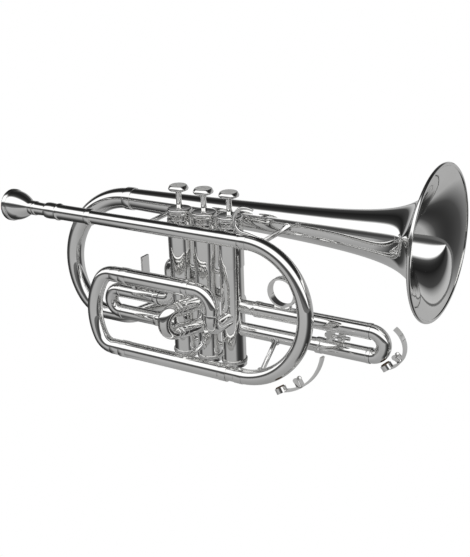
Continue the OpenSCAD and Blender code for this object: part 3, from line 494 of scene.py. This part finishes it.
def route(corners, bends, step=2.0):
    """Points along straight runs between corners, with a circular bend at each inner corner."""
    corners = [np.array(c, float) for c in corners]
    heads = [(b - a) / np.linalg.norm(b - a) for a, b in zip(corners, corners[1:])]
    line, at = [], corners[0]
    for corner, a, b, radius in zip(corners[1:-1], heads, heads[1:], bends):
        angle = math.acos(float(np.clip(a @ b, -1, 1)))
        back = radius * math.tan(angle / 2)
        inward = b - a * (a @ b)
        inward /= np.linalg.norm(inward)
        begin = corner - a * back
        count = max(2, int(np.linalg.norm(begin - at) / step))
        line.append(at + (begin - at) * np.linspace(0, 1, count, endpoint=False)[:, None])
        turned_by = math.degrees(angle)
        line.append(bend(begin, a, inward, radius, turned_by, max(6, int(turned_by / 4)))[:-1])
        at = corner + b * back
    count = max(2, int(np.linalg.norm(corners[-1] - at) / step))
    line.append(at + (corners[-1] - at) * np.linspace(0, 1, count)[:, None])
    return np.concatenate(line)


def tube(name, body, path, radius, *nodes, around=48, bore=WALL):
    """A silver-plated tube along a path, with its wall as thick as bore, or solid if bore is None."""
    return piece(name, sweep(name, path, radius, around=around, bore=bore), body, "silver_plate", *nodes)


def ring(name, at, head, width, outer, inner, edge=0.5, body="horn"):
    """A ferrule: a short ring with rounded edges, centred on at."""
    h, e = width / 2, edge
    profile = [(inner, -h), (outer - e, -h), (outer - 0.3 * e, -h + 0.3 * e), (outer, -h + e),
               (outer, h - e), (outer - 0.3 * e, h - 0.3 * e), (outer - e, h), (inner, h)]
    return piece(name, turned(name, profile, at, head, loop=True, around=72), body, "silver_plate")


bow_x, bow_r = 50.6, 52.2
lower_drop = 2 * bow_r
bow_line = in_loop(bend((bow_x, 0, 0), ALONG, UP, bow_r, 180, 96))
bow_swell = 5.8 + 0.25 * np.sin(np.linspace(0, math.pi, 96))
tube("front_bow_tube", "horn", bow_line, bow_swell, "front_bow", around=64)
for k, drop in (("upper", 0), ("lower", lower_drop)):
    ring("front_bow_ferrule_" + k, in_loop((bow_x - 1, 0, drop)), ALONG, 7, 6.08, 5.6, edge=0.2)


def level(stations, drop):
    """Points of a straight tube of the leaning plane, at the given x."""
    return in_loop([(x, 0, drop) for x in stations])


# ---- Lower run of the tuning slide ----
# The outer tube that the slide's lower leg enters, with a ferrule where it meets the front bow's tube.
OUTER_R = 6.6
back_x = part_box("lower_run")[0][0] * 1000
lower_run = level((back_x, back_x + 20, 10, 36), lower_drop)
tube("lower_run_tube", "horn", lower_run, OUTER_R, "lower_run", around=64)
tube("lower_run_neck", "horn", level((34, 38, 45, bow_x), lower_drop), 5.8, around=64)
ring("lower_run_front_ferrule", in_loop((36, 0, lower_drop)), ALONG, 7, 6.85, 5.7, edge=0.2)
ring("lower_run_back_ferrule", in_loop((back_x + 3.5, 0, lower_drop)), ALONG, 7, 6.85, 6.12, edge=0.2)

# ---- Upper outer tube and gooseneck ----
# The fixed upper leg of the tuning slide runs into a gooseneck that dips and turns into the third valve.
upper_drop = 43.5
front_x = back_x + 62
upper_run = level((back_x, back_x + 20, front_x - 20, front_x), upper_drop)
tube("upper_leg_tube", "horn", upper_run, OUTER_R, "main_outer_upper", around=64)
ring("upper_leg_back_ferrule", in_loop((back_x + 3.5, 0, upper_drop)), ALONG, 7, 6.85, 6.12, edge=0.2)
ring("upper_leg_front_ferrule", in_loop((front_x + 0.5, 0, upper_drop)), ALONG, 5, 6.85, 5.7, edge=0.2)
neck = route([in_loop((front_x - 1.9, 0, upper_drop)), in_loop((23.5, 0, upper_drop)), (23, -32.5, 42),
              (23, -8.6, 42)], [15, 8], 1.5)
tube("gooseneck_tube", "horn", neck, 5.7, "gooseneck", around=64, bore=None)
down = in_loop((0, 0, 1)) - in_loop((0, 0, 0))
ring("gooseneck_ferrule", (23.2, *in_loop((23.2, 0, upper_drop + 20))[1:]), down, 6, 6.25, 5.5)

# ---- Main tuning slide ----
# Two straight legs that fit the outer tubes and a bow with two tight corners. It pulls out to tune the horn.
CORNER_R = 14
foot = back_x - 9
lean_in = math.pi / 3
crook = [bend((foot, 0, upper_drop), (-1, 0, 0), UP, CORNER_R, 60, 28)]
for side, radius, steps in ((-1, lower_drop - upper_drop - CORNER_R, 48), (1, CORNER_R, 28)):
    head = np.array([side * math.cos(lean_in), 0, math.sin(lean_in)])
    inward = np.array([math.sin(lean_in), 0, -side * math.cos(lean_in)])
    crook.append(bend(crook[-1][-1], head, inward, radius, 60, steps)[1:])


def leg(far, drop):
    """Points of one straight leg, from its end in the outer tube to the foot of the bow."""
    return np.stack([np.linspace(far, foot, 8, endpoint=False), np.zeros(8), np.full(8, drop)], -1)


slide_line = np.concatenate([leg(front_x - 5, upper_drop), *crook, leg(22, lower_drop)[::-1]])
tube("tuning_slide_tube", "main_slide", in_loop(slide_line), 6.05, "main_slide", around=64)
for k, drop in (("upper", upper_drop), ("lower", lower_drop)):
    ring("tuning_slide_ferrule_" + k, in_loop((foot + 4.45, 0, drop)), ALONG, 8.9, 6.3, 5.6, edge=0.2,
         body="main_slide")

# ---- Crossovers between the valves ----
# Short arched tubes soldered into neighbouring casings on the bell side.
for name, start, end, z in (("crossover_12", -23, 0, 62), ("crossover_23", 0, 23, 50.6)):
    arch = route([(start, 7, z), (start + 1.5, 16, z), (end - 1.5, 16, z), (end, 7, z)], [6.5, 6.5], 1.0)
    tube(name + "_tube", "horn", arch, 5.4, name, bore=None)

# ---- First valve slide ----
# Fixed inner legs come out of the first valve, the upper one down a knuckle. The sleeves and bow slide over
# them.
LEG_R, SLEEVE_R, BOW_TUBE_R = 5.5, 6.05, 5.7
LEG_GAP = 19.3
first_z = 42.9
upper_leg = route([(-28.5, 2.2, 75), (-39, 6.5, 75), (-39, 6.5, first_z), (-49, 4, first_z),
                   (-88, 4, first_z)], [7, 7, 16], 1.5)
lower_leg = route([(-31, 2.4, 23.6), (-36, 4, 23.6), (-88, 4, 23.6)], [6], 1.5)
tube("first_leg_upper", "horn", upper_leg, LEG_R, "first_legs")
tube("first_leg_lower", "horn", lower_leg, LEG_R)


def slide(name, sleeves, head, foot):
    """A valve slide on the body and node of its own name: a half-circle bow from foot, where it meets the
    upper sleeve, and for each (which, length, drop) a sleeve that runs back from the bow."""
    foot, head = np.array(foot, float), np.array(head, float)
    bow = bend(foot, head, (0, 0, -1), LEG_GAP / 2, 180, 64)
    lead_in = foot - head * np.linspace(3, 0, 4, endpoint=False)[:, None]
    tail = lead_in[::-1] - (0, 0, LEG_GAP)
    tube(name + "_bow", name, np.concatenate([lead_in, bow, tail]), BOW_TUBE_R, name)
    for k, length, drop in sleeves:
        at = foot - (0, 0, drop)
        line = at - head * np.linspace(length, 0, 6)[:, None]
        tube(name + "_sleeve_" + k, name, line, SLEEVE_R)
        ring(name + "_ferrule_" + k, at - head * (length - 2.5), head, 5, SLEEVE_R + 0.3, SLEEVE_R - 0.45,
             edge=0.25, body=name)
        ring(name + "_foot_" + k, at - head * 1.5, head, 3, SLEEVE_R + 0.15, BOW_TUBE_R - 0.3,
             edge=0.2, body=name)


slide("first_slide", [("upper", 41.5, 0), ("lower", 41.5, LEG_GAP)], (-1, 0, 0), (-91, 4, first_z))

# ---- Second valve slide ----
# The shortest slide, angled back out of the second valve. Its outer tubes are fixed and its bow pulls out.
UPPER_Z, LOWER_Z = 51.6, 32.3
aim = np.array([math.cos(math.radians(248)), math.sin(math.radians(248)), 0])
for k, z, nodes in (("upper", UPPER_Z, ["second_outer"]), ("lower", LOWER_Z, [])):
    tube("second_outer_" + k, "horn", aim * np.linspace(8.8, 29, 5)[:, None] + (0, 0, z), SLEEVE_R, *nodes)
    ring("second_outer_ferrule_" + k, aim * 26 + (0, 0, z), aim, 6, 6.55, 5.57)
foot_2 = aim * 32 + (0, 0, UPPER_Z)
lead_in = foot_2 - aim * np.linspace(18.5, 0, 6, endpoint=False)[:, None]
bow_2 = bend(foot_2, aim, (0, 0, -1), LEG_GAP / 2, 180, 64)
tube("second_slide_bow", "second_slide", np.concatenate([lead_in, bow_2, lead_in[::-1] - (0, 0, LEG_GAP)]),
     LEG_R, "second_slide")
for k, z in (("upper", UPPER_Z), ("lower", LOWER_Z)):
    ring("second_slide_ferrule_" + k, aim * 30.5 + (0, 0, z), aim, 2.9, 6.05, 5.3, edge=0.3,
         body="second_slide")

# ---- Third valve slide ----
# Long fixed inner legs run forward from the third valve. The moving part has a long upper and a short lower
# sleeve.
for k, z, nodes in (("upper", UPPER_Z, ["third_legs"]), ("lower", LOWER_Z, [])):
    tube("third_leg_" + k, "horn", [(x, 0, z) for x in (31.8, 60, 100, 135.8)], LEG_R, *nodes)
slide("third_slide", [("upper", 97.8, 0), ("lower", 44.8, LEG_GAP)], ALONG, (141.8, 0, UPPER_Z))

# ---- Bell ----
# Beaten and spun from one sheet: a long cone that opens into the flare, its edge rolled over a wire.
RIM_WIRE = 1.4
RIM_R = 57.2
SHEET = 0.7
CONE_X, CONE_R, CONE_SLOPE = -97, 8.7, 0.018
bell_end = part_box("bell")[1][0] * 1000 - RIM_WIRE
bell_at = mid("bell")[1:]


def flare(x):
    """Share of the flare at x: it goes as the distance to the rim plus 20 mm, to the power of -1.5."""
    return (20 / (20 + bell_end - x)) ** 1.5


def bell_radius(x):
    """Outer radius of the bell at x: a slow cone with the flare on top."""
    scale = (RIM_R - CONE_R - CONE_SLOPE * (bell_end - CONE_X)) / (1 - flare(CONE_X))
    return CONE_R + CONE_SLOPE * (x - CONE_X) + scale * (flare(x) - flare(CONE_X))


# Stations lie closer together towards the rim, where the radius changes fastest.
xs = CONE_X + (bell_end - CONE_X) * (1 - (1 - np.linspace(0, 1, 150)) ** 2.2)
slope = (bell_radius(xs + 0.02) - bell_radius(xs - 0.02)) / 0.04
tilt = np.sqrt(1 + slope ** 2)
outside = np.stack([bell_radius(xs), xs], -1)
inside = np.stack([bell_radius(xs) - SHEET / tilt, xs + SHEET * slope / tilt], -1)
curl = np.linspace(-2.2, 2.5, 24)
wire = np.stack([RIM_R + RIM_WIRE * np.cos(curl), bell_end + RIM_WIRE * np.sin(curl)], -1)
bell_profile = np.concatenate([outside[:-2], wire, inside[::-1][2:]])
bell_mesh = turned("bell_spun", bell_profile, (0, *bell_at), ALONG, around=192, loop=True)
piece("bell_spun", bell_mesh, "horn", "silver_plate", "bell")

# ---- Rear bow and bell tail ----
# The tapered bow curves round behind the hand, and a last tube rises from it into the first valve.
REAR = math.radians(6.8)


def in_rear(points):
    """Points (x, side, drop) of the rear bow's own leaning plane."""
    p = np.asarray(points, float)
    return np.stack([p[..., 0], bell_at[0] + p[..., 1] * math.cos(REAR) - p[..., 2] * math.sin(REAR),
                     bell_at[1] - p[..., 1] * math.sin(REAR) - p[..., 2] * math.cos(REAR)], -1)


def arcs(start, parts):
    """Arcs of (radius, turn) in one plane, each starting where the last one ends, the first heading back."""
    line, angle, at = [], 0.0, np.array(start, float)
    for radius, turn in parts:
        h = np.array([-math.cos(angle), 0, math.sin(angle)])
        i = np.array([math.sin(angle), 0, math.cos(angle)])
        line.append(bend(at, h, i, radius, turn, 40)[1 if line else 0:])
        at = line[-1][-1]
        angle += math.radians(turn)
    return np.concatenate(line)


rear_line = in_rear(arcs((CONE_X, 0, 0), [(62, 50), (54.7, 80), (32.9, 50)]))
rear_r = np.interp(np.linspace(0, 1, len(rear_line)), [0, 1], [CONE_R, 6.35])
tube("rear_bow_tube", "horn", rear_line, rear_r, "bell_bow", around=72)
ring("rear_bow_ferrule", in_rear((CONE_X + 1, 0, 0)), ALONG, 8, 9.6, 8.4, edge=0.6)
tail_start = rear_line[-1]
tail = route([tail_start, (-96, tail_start[1], tail_start[2]), (-45, 21.3, 36), (-23, 21.3, 38),
              (-23, 8.6, 38)], [40, 20, 10.5], 2.0)
tube("bell_tail_tube", "horn", tail, 6.3, "bell_tail", around=64, bore=None)

# ---- Ring, hooks, braces and keys ----
# Small fittings, cast or bent from strip and rod, filed up and soldered on.


def filed_up(node, body):
    """A welded copy of a small fitting's CAD mesh, shaded smooth except at edges of more than 28 degrees."""
    mesh = frame["nodes"][node].data.copy()
    mesh.name = node + "_fitting"
    work = bmesh.new()
    work.from_mesh(mesh)
    bmesh.ops.remove_doubles(work, verts=work.verts, dist=2e-6)
    work.to_mesh(mesh)
    work.free()
    mesh.polygons.foreach_set("use_smooth", [True] * len(mesh.polygons))
    mesh.set_sharp_from_angle(angle=math.radians(28))
    return piece(node + "_fitting", mesh, body, "silver_plate", node)


# The little finger's hook is a tapered rod that rises off the front bow's tube and curls round the finger.
hook_foot = np.stack([np.linspace(65.5, 51, 8), np.zeros(8), np.linspace(-3.6, -6.3, 8)], -1)
hook_curl = bend((50, 0, -6.35), (-1, 0, 0), (0, 0, -1), 9.3, 180, 60)
hook_tip = [(52, 0, -24.95), (54, 0, -24.7), (56.5, 0, -24.1)]
hook_line = in_loop(np.concatenate([hook_foot, hook_curl, hook_tip]))
hook_r = np.interp(np.arange(len(hook_line)), [0, 6, 40, 66, 70], [0.5, 1.2, 1.5, 1.3, 0.9])
tube("pinky_hook_rod", "horn", hook_line, hook_r, "pinky_hook", around=40, bore=None)
for node, body in (("finger_ring", "third_slide"), ("brace_front", "horn"), ("brace_rear", "horn"),
                   ("brace_low", "horn"), ("brace_valve", "horn"), ("casing_ties", "horn"),
                   ("thumb_saddle", "first_slide"), ("third_stop", "third_slide"), ("main_key", "main_key"),
                   ("third_key", "third_key")):
    filed_up(node, body)

# ---- Lock nut of the third slide's stop ----
# A knurled brass nut, plated like the rest, that the player sets against the stop rod's bracket.
nut_at = mid("third_stop") * (0, 1, 1) + (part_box("third_stop")[0][0] * 1000 + 13.5, 0, 0)
nut = turned("third_stop_nut", [(1.62, -1.9), (3.3, -1.9), (3.7, -1.6), (3.7, 1.6), (3.3, 1.9), (1.62, 1.9)],
             nut_at, ALONG, around=240, loop=True, ripple=milled(-1.55, 1.55, 0.22, 40))
piece("third_stop_nut", nut, "third_slide", "silver_plate")

# ---- Inside the valves ----
# Moulded nylon guides, wire springs and pressed felts, seen only with a cap off. The cork pads of the two
# water keys, cut from sheet cork, take their finish here too.


def mottled(name, dark, light, grain, rough, bump, metallic=0.0, sheen=0.0):
    """Plain stuff with a grain: noise mixes two tones and lifts the surface."""
    material = bpy.data.materials.new(name)
    material.use_nodes = True
    n, link = material.node_tree.nodes, material.node_tree.links.new
    shader = n["Principled BSDF"]
    shader.inputs["Roughness"].default_value = rough
    shader.inputs["Metallic"].default_value = metallic
    shader.inputs["Sheen Weight"].default_value = sheen
    where, noise, lift = n.new("ShaderNodeTexCoord"), n.new("ShaderNodeTexNoise"), n.new("ShaderNodeBump")
    noise.inputs["Scale"].default_value = grain
    noise.inputs["Detail"].default_value = 7
    lift.inputs["Strength"].default_value = 0.6
    lift.inputs["Distance"].default_value = bump
    tone = ramp(n, [(0.32, dark), (0.68, light)])
    link(where.outputs["Object"], noise.inputs["Vector"])
    link(noise.outputs["Fac"], tone.inputs[0])
    link(noise.outputs["Fac"], lift.inputs["Height"])
    link(tone.outputs[0], shader.inputs["Base Color"])
    link(lift.outputs[0], shader.inputs["Normal"])
    return material


finish_slot["guide_nylon"] = mottled(
    "guide_nylon", (0.72, 0.69, 0.6), (0.8, 0.77, 0.7), grain=900, rough=0.42, bump=0.00002)
finish_slot["spring_steel"] = mottled(
    "spring_steel", (0.35, 0.35, 0.36), (0.5, 0.5, 0.51), grain=1400, rough=0.3, bump=0.00001, metallic=1.0)
finish_slot["felt"] = mottled(
    "felt", (0.012, 0.012, 0.014), (0.045, 0.045, 0.05), grain=2600, rough=0.95, bump=0.00012, sheen=0.6)
finish_slot["cork"] = mottled(
    "cork", (0.03, 0.02, 0.014), (0.16, 0.1, 0.06), grain=1500, rough=0.85, bump=0.0001)

# ---- Valve springs ----
# A coil of round wire stands for each CAD sleeve. It rides with the piston.
WIRE_R = 0.4
TURNS = 9
for k in "123":
    low, high = (np.array(corner) * 1000 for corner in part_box("spring_" + k))
    x = (low[0] + high[0]) / 2
    wide = (high[0] - low[0]) / 2 - WIRE_R
    length = high[2] - low[2]
    turns = np.linspace(0, TURNS, 48 * TURNS + 1)
    rise = np.interp(turns, [0, 1, TURNS - 1, TURNS],
                     [WIRE_R, 3 * WIRE_R, length - 3 * WIRE_R, length - WIRE_R])
    angle = 2 * math.pi * turns
    path = np.stack([x + wide * np.cos(angle), wide * np.sin(angle), low[2] + rise], -1)
    coil_mesh = sweep("valve_spring_" + k, path, WIRE_R, around=12)
    coil = piece("valve_spring_" + k, coil_mesh, "valve_" + k, "spring_steel", "spring_" + k)
    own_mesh(coil)

# ---- Pieces whose CAD shape stays ----
# The rest of the CAD nodes, such as the pistons, keep their meshes and take the finish of their own slots.
slots = {part["node"]: part["material_slot"] for part in frame["record"]["subparts"]}
for node, thing in frame["nodes"].items():
    if thing.hide_render:
        continue
    thing.data.materials.clear()
    thing.data.materials.append(finish_slot[slots[node]])

(low, high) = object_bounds()
